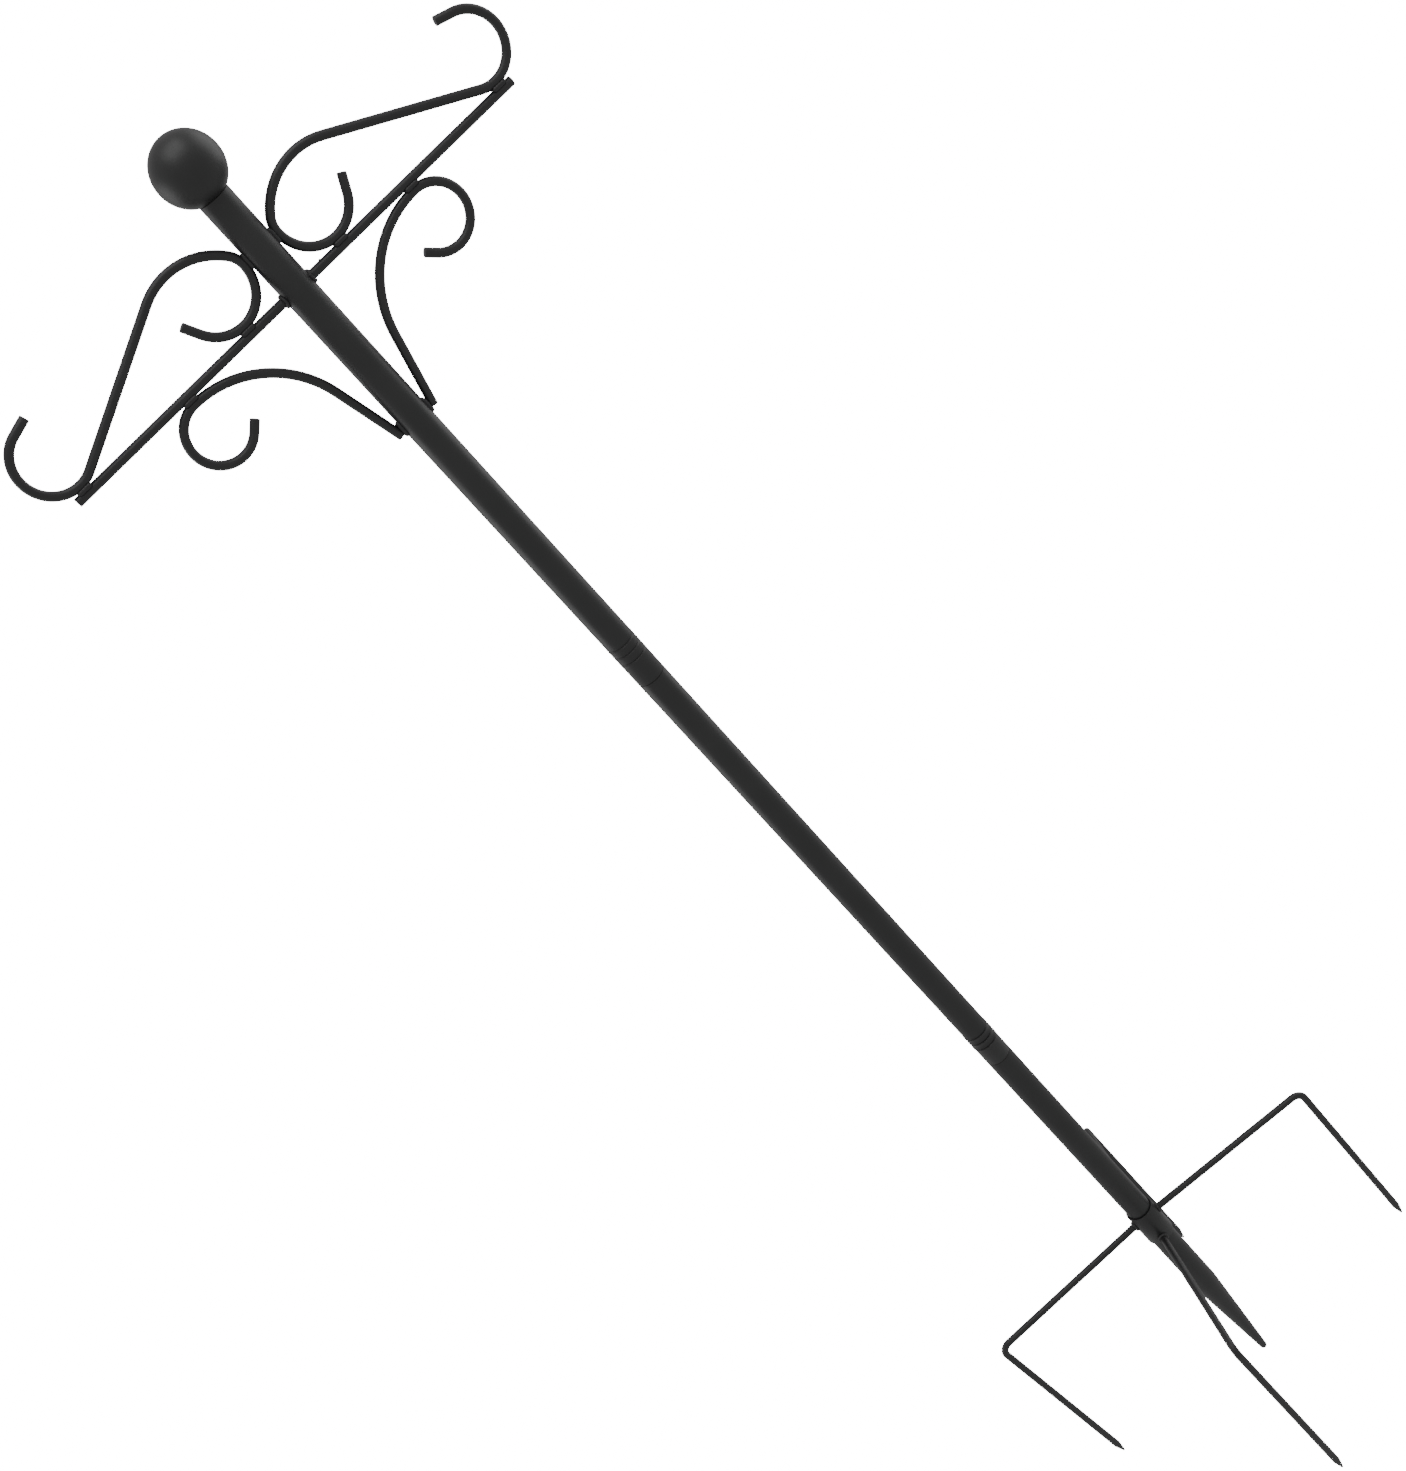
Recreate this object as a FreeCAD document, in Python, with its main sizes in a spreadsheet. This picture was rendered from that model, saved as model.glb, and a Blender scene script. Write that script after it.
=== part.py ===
import FreeCAD, Part
import math
import os
import Sketcher

# Twin-hook garden pole in painted steel: a ball-topped tube pole in three sections, two mirrored
# pairs of bent scroll rods on a crossbar, and a slip-on base with four bent prongs.
# Millimetres, +Z up. The origin is on the pole's axis at the lower rim of the prong collar, which
# is the ground line. The scrolls and the crossbar lie in the XZ plane.

SIZES = {
    # pole
    "tube_diameter": 22.0,
    "tube_wall": 1.2,
    "upper_tube_length": 420.0,
    "middle_tube_length": 455.0,
    "lower_tube_above_ground": 268.0,
    "lower_tube_below_ground": 84.0,
    "point_length": 114.0,
    "point_tip_radius": 3.2,
    "point_solid_length": 22.0,
    "point_flat_share": 0.6,
    "point_flat_rise": 0.2,
    # spigot joints between the sections
    "spigot_wall": 2.0,
    "spigot_grip_length": 45.0,
    "spigot_reach": 40.0,
    "spigot_clearance": 0.08,
    "spigot_lead_in": 1.5,
    "ring_count": 3.0,
    "ring_pitch": 6.8,
    "ring_height": 21.0,
    "ring_radius": 0.7,
    # ball finial
    "ball_diameter": 46.0,
    "ball_wall": 1.5,
    "plug_length": 25.0,
    # bent rods of the hooks
    "rod_diameter": 6.3,
    "crossbar_overhang": 8.86,
    "crossbar_drop": 71.0,
    "loop_radius": 25.3,
    "loop_turn": 153.0,
    "loop_tip_length": 12.0,
    "shoulder_radius": 14.8,
    "shoulder_turn": 39.4,
    "crown_radius": 46.2,
    "crown_turn": 76.2,
    "hook_radius": 23.3,
    "hook_turn": 190.5,
    "hook_tip_length": 12.6,
    "brace_reach": 94.4,
    "curl_radius": 21.2,
    "curl_turn": 223.0,
    "curl_tip_length": 8.5,
    "sweep_radius": 70.5,
    "sweep_turn": 76.4,
    # prong base
    "collar_length": 38.0,
    "collar_wall": 1.4,
    "collar_clearance": 0.3,
    "side_prong_reach": 170.5,
    "cross_prong_reach": 160.0,
    "prong_leg_length": 197.0,
    "prong_bend_radius": 9.0,
    "prong_point_length": 12.0,
    "prong_point_radius": 0.9,
    "side_prong_height": 25.0,
    "cross_prong_height": 4.5,
    "base_turn": -12.0,
    "left_prong_skew": 5.2,
    "front_prong_skew": -2.7,
    "right_prong_bend": 88.7,
    "left_prong_bend": 93.5,
    "front_prong_bend": 90.0,
    "back_prong_bend": 88.5,
    # weld beads
    "root_bead_size": 2.4,
    "bead_size": 1.8,
    "bead_offset": 2.1,
    "bead_length": 4.4,
    "collar_bead_size": 2.0,
    "bead_toe": 0.2,
}

doc = FreeCAD.newDocument("garden_pole")
nodes = []


def make_sheet():
    sheet = doc.addObject("Spreadsheet::Sheet", "sizes")
    for row, (alias, value) in enumerate(SIZES.items(), start=1):
        sheet.set("A%d" % row, alias)
        sheet.set("B%d" % row, str(value))
        sheet.setAlias("B%d" % row, alias)
    doc.recompute()
    return sheet


def node(obj, label):
    """Names a finished sub-part and lists it for export."""
    obj.Label = label
    nodes.append(obj)
    return obj


def new_body(name):
    return doc.addObject("PartDesign::Body", name)


def origin_plane(body, role):
    for feature in body.Origin.OriginFeatures:
        if feature.Role == role:
            return feature
    raise RuntimeError("no origin plane " + role)


def new_sketch(body, name, role, offset=FreeCAD.Vector(0, 0, 0)):
    sketch = body.newObject("Sketcher::SketchObject", name)
    sketch.AttachmentSupport = [(origin_plane(body, role), "")]
    sketch.MapMode = "FlatFace"
    sketch.AttachmentOffset = FreeCAD.Placement(offset, FreeCAD.Rotation())
    return sketch


def bind(sketch, constraint, expression, name):
    """Adds a dimension to a sketch, names it and ties it to the sheet."""
    index = sketch.addConstraint(constraint)
    sketch.renameConstraint(index, name)
    sketch.setExpression("Constraints." + name, expression)
    return index


def circle_sketch(body, name, role, radii):
    """Concentric circles about the sketch's origin; radii is a list of (value, expression)."""
    sketch = new_sketch(body, name, role)
    for number, (value, expression) in enumerate(radii):
        up = FreeCAD.Vector(0, 0, 1)
        sketch.addGeometry(Part.Circle(FreeCAD.Vector(0, 0, 0), up, value), False)
        sketch.addConstraint(Sketcher.Constraint("Coincident", number, 3, -1, 1))
        bind(sketch, Sketcher.Constraint("Radius", number, value), expression, "radius%d" % number)
    return sketch


def pad(body, sketch, name, expression):
    feature = body.newObject("PartDesign::Pad", name)
    feature.Profile = sketch
    feature.setExpression("Length", expression)
    return feature


def outline_sketch(body, name, points):
    """A closed outline of straight sides in the XZ plane. points is a list of
    (x, x expression, z, z expression); an expression of None leaves that corner on the axis."""
    sketch = new_sketch(body, name, "XZ_Plane")
    count = len(points)
    for number in range(count):
        start = points[number]
        end = points[(number + 1) % count]
        first = FreeCAD.Vector(start[0], start[2], 0)
        last = FreeCAD.Vector(end[0], end[2], 0)
        sketch.addGeometry(Part.LineSegment(first, last), False)
    for number in range(count):
        sketch.addConstraint(Sketcher.Constraint("Coincident", number, 2, (number + 1) % count, 1))
    for number, (x, across, z, upward) in enumerate(points):
        if across is None:
            sketch.addConstraint(Sketcher.Constraint("PointOnObject", number, 1, -2))
        else:
            distance = Sketcher.Constraint("DistanceX", -1, 1, number, 1, x)
            bind(sketch, distance, across, "across%d" % number)
        distance = Sketcher.Constraint("DistanceY", -1, 1, number, 1, z)
        bind(sketch, distance, upward, "upward%d" % number)
    return sketch


def revolve(body, sketch, name, kind="PartDesign::Revolution"):
    feature = body.newObject(kind, name)
    feature.Profile = sketch
    feature.ReferenceAxis = (sketch, ["V_Axis"])
    feature.Angle = 360.0
    return feature


def rod_path(body, name, start, across, upward, heading, steps):
    """A chain of lines and tangent arcs in the XZ plane that a rod follows.
    start is the first point, across and upward its expressions, heading its direction in
    degrees. A step is ("line", length, expression or None) or
    ("arc", radius, radius expression, turn in degrees, turn expression or None)."""
    sketch = new_sketch(body, name, "XZ_Plane")
    point = FreeCAD.Vector(start[0], start[1], 0)
    ends = []
    for number, step in enumerate(steps):
        way = FreeCAD.Vector(math.cos(math.radians(heading)), math.sin(math.radians(heading)), 0)
        if step[0] == "line":
            after = point + way * step[1]
            sketch.addGeometry(Part.LineSegment(point, after), False)
            ends.append((1, 2))
        else:
            radius, turn = step[1], step[3]
            side = 1.0 if turn > 0 else -1.0
            centre = point + FreeCAD.Vector(-way.y, way.x, 0) * radius * side
            before = heading - 90.0 * side
            low, high = sorted((before, before + turn))
            circle = Part.Circle(centre, FreeCAD.Vector(0, 0, 1), radius)
            arc = Part.ArcOfCircle(circle, math.radians(low), math.radians(high))
            sketch.addGeometry(arc, False)
            heading += turn
            swing = math.radians(before + turn)
            after = centre + FreeCAD.Vector(math.cos(swing), math.sin(swing), 0) * radius
            ends.append((1, 2) if side > 0 else (2, 1))
        if number:
            last = ends[number - 1][1]
            joined = Sketcher.Constraint("Tangent", number - 1, last, number, ends[number][0])
            sketch.addConstraint(joined)
        point = after
    first = ends[0][0]
    distance = Sketcher.Constraint("DistanceX", -1, 1, 0, first, start[0])
    bind(sketch, distance, across, "start_across")
    distance = Sketcher.Constraint("DistanceY", -1, 1, 0, first, start[1])
    bind(sketch, distance, upward, "start_up")
    for number, step in enumerate(steps):
        if step[0] == "line" and step[2]:
            length = Sketcher.Constraint("Distance", number, step[1])
            bind(sketch, length, step[2], "length%d" % number)
        if step[0] == "arc":
            radius = Sketcher.Constraint("Radius", number, step[1])
            bind(sketch, radius, step[2], "radius%d" % number)
            if step[4]:
                swept = Sketcher.Constraint("Angle", number, math.radians(abs(step[3])))
                bind(sketch, swept, "(%s) * 1 deg" % step[4], "turn%d" % number)
    return sketch


def rod_profile(body, name, role, across, upward, depth):
    """The round section of a rod, in an origin plane moved along its normal by depth."""
    sketch = new_sketch(body, name, role)
    radius = SIZES["rod_diameter"] / 2
    circle = Part.Circle(FreeCAD.Vector(across[0], upward[0], 0), FreeCAD.Vector(0, 0, 1), radius)
    sketch.addGeometry(circle, False)
    bind(sketch, Sketcher.Constraint("Radius", 0, radius), "sizes.rod_diameter / 2", "rod_radius")
    for kind, (value, expression), axis in (("DistanceX", across, -2), ("DistanceY", upward, -1)):
        if value:
            bind(sketch, Sketcher.Constraint(kind, -1, 1, 0, 3, value), expression, kind.lower())
        else:
            sketch.addConstraint(Sketcher.Constraint("PointOnObject", 0, 3, axis))
    sketch.setExpression("AttachmentOffset.Base.z", depth)
    return sketch


def pipe(body, name, profile, path):
    feature = body.newObject("PartDesign::AdditivePipe", name)
    feature.Profile = profile
    feature.Spine = path
    return feature


def section_tube(name, bottom, length):
    """A plain tube with three rolled rings near its lower end. The rings bulge into the bore,
    where they grip the spigot. bottom and length are (value, expression)."""
    bore = SIZES["tube_diameter"] / 2 - SIZES["tube_wall"]
    outer = (SIZES["tube_diameter"] / 2, "sizes.tube_diameter / 2")
    inner = (bore, "sizes.tube_diameter / 2 - sizes.tube_wall")
    body = new_body(name)
    section = circle_sketch(body, name + "_section", "XY_Plane", [outer, inner])
    section.setExpression("AttachmentOffset.Base.z", bottom[1])
    pad(body, section, name + "_wall", length[1])
    doc.recompute()
    for kind, label, (radius, expression) in (
        ("PartDesign::Groove", "_ring", outer),
        ("PartDesign::Revolution", "_bulge", inner),
    ):
        sketch = new_sketch(body, name + label + "_section", "XZ_Plane")
        height = bottom[0] + SIZES["ring_height"]
        centre = FreeCAD.Vector(radius, height, 0)
        ring = Part.Circle(centre, FreeCAD.Vector(0, 0, 1), SIZES["ring_radius"])
        sketch.addGeometry(ring, False)
        ring_radius = Sketcher.Constraint("Radius", 0, SIZES["ring_radius"])
        bind(sketch, ring_radius, "sizes.ring_radius", "ring_radius")
        bind(sketch, Sketcher.Constraint("DistanceX", -1, 1, 0, 3, radius), expression, "across")
        level = "%s + sizes.ring_height" % bottom[1]
        bind(sketch, Sketcher.Constraint("DistanceY", -1, 1, 0, 3, height), level, "level")
        feature = revolve(body, sketch, name + label, kind)
        doc.recompute()
        repeat_rings(body, feature, sketch, name + label + "s")
    return node(body, name)


def repeat_rings(body, feature, sketch, name):
    pattern = body.newObject("PartDesign::LinearPattern", name)
    pattern.Originals = [feature]
    pattern.Direction = (sketch, ["V_Axis"])
    pattern.setExpression("Length", "(sizes.ring_count - 1) * sizes.ring_pitch")
    pattern.setExpression("Occurrences", "sizes.ring_count")
    body.Tip = pattern
    doc.recompute()
    return pattern


def spigot(name, seam):
    """A thick tube crimped into the lower end of one section by that section's rings, which
    stands out below the seam and slips into the next section. seam is (value, expression)."""
    bore = SIZES["tube_diameter"] / 2 - SIZES["tube_wall"]
    slip = bore - SIZES["spigot_clearance"]
    hollow = bore - SIZES["spigot_wall"]
    low = seam[0] - SIZES["spigot_reach"]
    high = seam[0] + SIZES["spigot_grip_length"]
    lead = SIZES["spigot_lead_in"]
    fit = "sizes.tube_diameter / 2 - sizes.tube_wall"
    slip_fit = fit + " - sizes.spigot_clearance"
    inside = fit + " - sizes.spigot_wall"
    bottom = seam[1] + " - sizes.spigot_reach"
    top = seam[1] + " + sizes.spigot_grip_length"
    body = new_body(name)
    points = [
        (hollow, inside, low, bottom),
        (slip - lead / 2, slip_fit + " - sizes.spigot_lead_in / 2", low, bottom),
        (slip, slip_fit, low + lead, bottom + " + sizes.spigot_lead_in"),
        (slip, slip_fit, seam[0], seam[1]),
        (bore, fit, seam[0], seam[1]),
        (bore, fit, high, top),
        (hollow, inside, high, top),
    ]
    revolve(body, outline_sketch(body, name + "_outline", points), name + "_body")
    doc.recompute()
    sketch = new_sketch(body, name + "_ring_section", "XZ_Plane")
    height = seam[0] + SIZES["ring_height"]
    ring = Part.Circle(FreeCAD.Vector(bore, height, 0), FreeCAD.Vector(0, 0, 1), SIZES["ring_radius"])
    sketch.addGeometry(ring, False)
    ring_radius = Sketcher.Constraint("Radius", 0, SIZES["ring_radius"])
    bind(sketch, ring_radius, "sizes.ring_radius", "ring_radius")
    bind(sketch, Sketcher.Constraint("DistanceX", -1, 1, 0, 3, bore), fit, "across")
    level = seam[1] + " + sizes.ring_height"
    bind(sketch, Sketcher.Constraint("DistanceY", -1, 1, 0, 3, height), level, "level")
    feature = revolve(body, sketch, name + "_ring", "PartDesign::Groove")
    doc.recompute()
    repeat_rings(body, feature, sketch, name + "_rings")
    return node(body, name)


def lower_tube():
    """The lowest section, drawn down to a closed, blunt point below the ground line."""
    radius = SIZES["tube_diameter"] / 2
    bore = radius - SIZES["tube_wall"]
    top = SIZES["lower_tube_above_ground"]
    shoulder = -SIZES["lower_tube_below_ground"]
    tip = shoulder - SIZES["point_length"]
    nose = SIZES["point_tip_radius"]
    flat = nose * SIZES["point_flat_share"]
    rise = nose * SIZES["point_flat_rise"]
    outside = "sizes.tube_diameter / 2"
    inside = outside + " - sizes.tube_wall"
    down = "-sizes.lower_tube_below_ground"
    end = down + " - sizes.point_length"
    flat_at = "sizes.point_tip_radius * sizes.point_flat_share"
    rise_at = end + " + sizes.point_tip_radius * sizes.point_flat_rise"
    body = new_body("lower_tube")
    points = [
        (bore, inside, top, "sizes.lower_tube_above_ground"),
        (radius, outside, top, "sizes.lower_tube_above_ground"),
        (radius, outside, shoulder, down),
        (nose, "sizes.point_tip_radius", tip + nose, end + " + sizes.point_tip_radius"),
        (flat, flat_at, tip + rise, rise_at),
        (0.0, None, tip, end),
        (0.0, None, tip + SIZES["point_solid_length"], end + " + sizes.point_solid_length"),
        (bore, inside, shoulder, down),
    ]
    revolve(body, outline_sketch(body, "lower_tube_outline", points), "lower_tube_body")
    doc.recompute()
    return node(body, "lower_tube")


def ball_finial(neck):
    """A hollow ball whose cut lower end seats on the rim of the tube. neck is the rim's height."""
    radius = SIZES["ball_diameter"] / 2
    inner = radius - SIZES["ball_wall"]
    tube = SIZES["tube_diameter"] / 2
    bore = tube - SIZES["tube_wall"]
    centre = neck[0] + math.sqrt(radius**2 - tube**2)
    body = new_body("ball_finial")
    sketch = new_sketch(body, "ball_outline", "XZ_Plane")
    up = FreeCAD.Vector(0, 0, 1)
    middle = FreeCAD.Vector(0, centre, 0)
    seat = FreeCAD.Vector(tube, neck[0], 0)
    lip = FreeCAD.Vector(bore, neck[0], 0)
    mouth = FreeCAD.Vector(bore, centre - math.sqrt(inner**2 - bore**2), 0)
    start = math.atan2(neck[0] - centre, tube)
    inner_start = math.atan2(mouth.y - centre, bore)
    sketch.addGeometry(Part.ArcOfCircle(Part.Circle(middle, up, radius), start, math.pi / 2), False)
    sketch.addGeometry(Part.ArcOfCircle(Part.Circle(middle, up, inner), inner_start, math.pi / 2), False)
    crown = FreeCAD.Vector(0, centre + radius, 0)
    inner_crown = FreeCAD.Vector(0, centre + inner, 0)
    sketch.addGeometry(Part.LineSegment(crown, inner_crown), False)
    sketch.addGeometry(Part.LineSegment(mouth, lip), False)
    sketch.addGeometry(Part.LineSegment(lip, seat), False)
    for first, second in (
        ((0, 2), (2, 1)),
        ((2, 2), (1, 2)),
        ((1, 1), (3, 1)),
        ((3, 2), (4, 1)),
        ((4, 2), (0, 1)),
    ):
        met = Sketcher.Constraint("Coincident", first[0], first[1], second[0], second[1])
        sketch.addConstraint(met)
    sketch.addConstraint(Sketcher.Constraint("Coincident", 0, 3, 1, 3))
    sketch.addConstraint(Sketcher.Constraint("PointOnObject", 0, 3, -2))
    sketch.addConstraint(Sketcher.Constraint("PointOnObject", 0, 2, -2))
    sketch.addConstraint(Sketcher.Constraint("PointOnObject", 1, 2, -2))
    sketch.addConstraint(Sketcher.Constraint("Vertical", 3))
    sketch.addConstraint(Sketcher.Constraint("Horizontal", 4))
    bind(sketch, Sketcher.Constraint("Radius", 0, radius), "sizes.ball_diameter / 2", "outer")
    inside = "sizes.ball_diameter / 2 - sizes.ball_wall"
    bind(sketch, Sketcher.Constraint("Radius", 1, inner), inside, "inner")
    bind(sketch, Sketcher.Constraint("DistanceX", -1, 1, 4, 2, tube), "sizes.tube_diameter / 2", "seat")
    across = "sizes.tube_diameter / 2 - sizes.tube_wall"
    bind(sketch, Sketcher.Constraint("DistanceX", -1, 1, 4, 1, bore), across, "lip")
    bind(sketch, Sketcher.Constraint("DistanceY", -1, 1, 4, 2, neck[0]), neck[1], "neck")
    revolve(body, sketch, "ball_body")
    doc.recompute()
    return node(body, "ball_finial")


def finial_plug(neck):
    """A round plug pressed into the tube and standing up through the ball's mouth."""
    bore = SIZES["tube_diameter"] / 2 - SIZES["tube_wall"]
    body = new_body("finial_plug")
    section = [(bore, "sizes.tube_diameter / 2 - sizes.tube_wall")]
    sketch = circle_sketch(body, "plug_section", "XY_Plane", section)
    sketch.setExpression("AttachmentOffset.Base.z", neck[1] + " - sizes.plug_length")
    pad(body, sketch, "plug_body", "sizes.plug_length + sizes.ball_wall / 2")
    doc.recompute()
    return node(body, "finial_plug")


def cylinder(name, radius, length, base, axis):
    """A plain cylinder. radius and length are expressions, base an (x, y, z) of expressions."""
    shape = doc.addObject("Part::Cylinder", name)
    shape.setExpression("Radius", radius)
    shape.setExpression("Height", length)
    shape.Placement.Rotation = FreeCAD.Rotation(FreeCAD.Vector(0, 0, 1), axis)
    place(shape, base)
    return shape


def place(shape, base):
    for letter, expression in zip("xyz", base):
        if expression:
            shape.setExpression("Placement.Base." + letter, expression)


def cut(name, base, tool):
    feature = doc.addObject("Part::Cut", name)
    feature.Base = base
    feature.Tool = tool
    return feature


def mirrored(name, source):
    """The copy of a sub-part on the other side of the YZ plane."""
    feature = doc.addObject("Part::Mirroring", name)
    feature.Source = source
    feature.Normal = FreeCAD.Vector(1, 0, 0)
    feature.Base = FreeCAD.Vector(0, 0, 0)
    return feature


def compound(name, links):
    feature = doc.addObject("Part::Compound", name)
    feature.Links = links
    return feature


def crossbars(bar_up, core):
    """One straight rod each side, its inner end shaped to the tube it is welded to. Its outer
    end stands out a little beyond the foot of the hook that rests on it."""
    across = FreeCAD.Vector(1, 0, 0)
    length = "hook_path.Constraints.hook_centre_across + sizes.crossbar_overhang * 1 mm"
    blank = cylinder("crossbar_blank", "sizes.rod_diameter / 2", length, ("", "", bar_up[1]), across)
    right = node(cut("crossbar_right", blank, core), "crossbar_right")
    node(mirrored("crossbar_left", right), "crossbar_left")
    return right


def hook_scrolls(bar_up):
    """The hook rod: from the tube's side it runs down round the loop on the crossbar, and up over
    the crown, along the straight and round the hook that rests on the crossbar's end."""
    rod = SIZES["rod_diameter"]
    touch = SIZES["tube_diameter"] / 2 + rod / 2
    level = bar_up[0] + rod + SIZES["loop_radius"]
    touch_at = "sizes.tube_diameter / 2 + sizes.rod_diameter / 2"
    level_at = bar_up[1] + " + sizes.rod_diameter + sizes.loop_radius"
    slope = SIZES["shoulder_turn"] + SIZES["crown_turn"] - 90.0
    body = new_body("hook_scroll_right")
    lower = [
        ("arc", SIZES["loop_radius"], "sizes.loop_radius", SIZES["loop_turn"], "sizes.loop_turn"),
        ("line", SIZES["loop_tip_length"], "sizes.loop_tip_length"),
    ]
    inner = rod_path(body, "loop_path", (touch, level), touch_at, level_at, -90.0, lower)
    inner.addConstraint(Sketcher.Constraint("Horizontal", 0, 3, 0, 1))
    rise = SIZES["shoulder_radius"] * math.sin(math.radians(SIZES["shoulder_turn"]))
    start = math.radians(90.0 - SIZES["shoulder_turn"])
    end = math.radians(-slope)
    rise += SIZES["crown_radius"] * (math.cos(end) - math.cos(start))
    foot = bar_up[0] + rod + SIZES["hook_radius"] * (1 - math.cos(end))
    run = (level + rise - foot) / math.sin(math.radians(slope))
    shoulder = SIZES["shoulder_radius"]
    upper = [
        ("arc", shoulder, "sizes.shoulder_radius", -SIZES["shoulder_turn"], "sizes.shoulder_turn"),
        ("arc", SIZES["crown_radius"], "sizes.crown_radius", -SIZES["crown_turn"], "sizes.crown_turn"),
        ("line", run, None),
        ("arc", SIZES["hook_radius"], "sizes.hook_radius", SIZES["hook_turn"], "sizes.hook_turn"),
        ("line", SIZES["hook_tip_length"], "sizes.hook_tip_length"),
    ]
    outer = rod_path(body, "hook_path", (touch, level), touch_at, level_at, 90.0, upper)
    outer.addConstraint(Sketcher.Constraint("Horizontal", 0, 3, 0, 2))
    rest = Sketcher.Constraint("DistanceY", -1, 1, 3, 3, bar_up[0] + rod + SIZES["hook_radius"])
    bind(outer, rest, bar_up[1] + " + sizes.rod_diameter + sizes.hook_radius", "hook_centre_up")
    doc.recompute()
    centre = outer.Geometry[3].Center.x
    reading = outer.addConstraint(Sketcher.Constraint("DistanceX", -1, 1, 3, 3, centre))
    outer.setDriving(reading, False)
    outer.renameConstraint(reading, "hook_centre_across")
    spot = (touch, touch_at)
    profile = rod_profile(body, "hook_rod_section", "XY_Plane", spot, (0.0, ""), level_at)
    doc.recompute()
    pipe(body, "loop_rod", profile, inner)
    doc.recompute()
    pipe(body, "hook_rod", profile, outer)
    doc.recompute()
    node(body, "hook_scroll_right")
    node(mirrored("hook_scroll_left", body), "hook_scroll_left")
    return body


def brace_scrolls(bar_up):
    """The brace rod: from under the crossbar it curls outwards into a small hook, and inwards it
    sweeps down to the tube's side."""
    rod = SIZES["rod_diameter"]
    touch = SIZES["tube_diameter"] / 2 + rod / 2
    level = bar_up[0] - rod
    level_at = bar_up[1] + " - sizes.rod_diameter"
    reach = SIZES["brace_reach"]
    body = new_body("brace_rods")
    curl = [
        ("arc", SIZES["curl_radius"], "sizes.curl_radius", -SIZES["curl_turn"], "sizes.curl_turn"),
        ("line", SIZES["curl_tip_length"], "sizes.curl_tip_length"),
    ]
    curl_path = rod_path(body, "curl_path", (reach, level), "sizes.brace_reach", level_at, 0.0, curl)
    curl_path.addConstraint(Sketcher.Constraint("Vertical", 0, 3, 0, 2))
    turn = math.radians(SIZES["sweep_turn"])
    run = (reach - SIZES["sweep_radius"] * math.sin(turn) - touch) / math.cos(turn)
    sweep = [
        ("arc", SIZES["sweep_radius"], "sizes.sweep_radius", SIZES["sweep_turn"], "sizes.sweep_turn"),
        ("line", run, None),
    ]
    start = (reach, level)
    sweep_path = rod_path(body, "sweep_path", start, "sizes.brace_reach", level_at, 180.0, sweep)
    sweep_path.addConstraint(Sketcher.Constraint("Vertical", 0, 3, 0, 1))
    meets = Sketcher.Constraint("DistanceX", -1, 1, 1, 2, touch)
    bind(sweep_path, meets, "sizes.tube_diameter / 2 + sizes.rod_diameter / 2", "end_across")
    doc.recompute()
    foot = sweep_path.Geometry[1].EndPoint.y
    reading = sweep_path.addConstraint(Sketcher.Constraint("DistanceY", -1, 1, 1, 2, foot))
    sweep_path.setDriving(reading, False)
    sweep_path.renameConstraint(reading, "end_up")
    spot = (level, level_at)
    profile = rod_profile(body, "brace_rod_section", "YZ_Plane", (0.0, ""), spot, "sizes.brace_reach")
    doc.recompute()
    pipe(body, "curl_rod", profile, curl_path)
    doc.recompute()
    pipe(body, "sweep_rod", profile, sweep_path)
    doc.recompute()
    return body


def bead(name, sizes, base, tools):
    """The front bead of a weld: an ellipsoid with the pieces that it joins cut out of it.
    sizes and base are expressions across and up."""
    shape = doc.addObject("Part::Ellipsoid", name + "_blank")
    shape.setExpression("Radius1", sizes[1])
    shape.setExpression("Radius2", sizes[0])
    shape.setExpression("Radius3", "sizes.bead_size")
    place(shape, (base[0], "-sizes.bead_offset", base[1]))
    for number, tool in enumerate(tools):
        shape = cut("%s_cut%d" % (name, number), shape, tool)
    return shape


def both_sides(label, right):
    """A node of a weld on the right and its mirror image on the left."""
    left = mirrored(label + "_mirror", right)
    return node(compound(label, [right, left]), label)


def bead_pair(label, front):
    """The front bead and its match at the back, on the right and on the left."""
    back = mirrored(label + "_back", front)
    back.Normal = FreeCAD.Vector(0, 1, 0)
    return both_sides(label, compound(label + "_pair", [front, back]))


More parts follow.
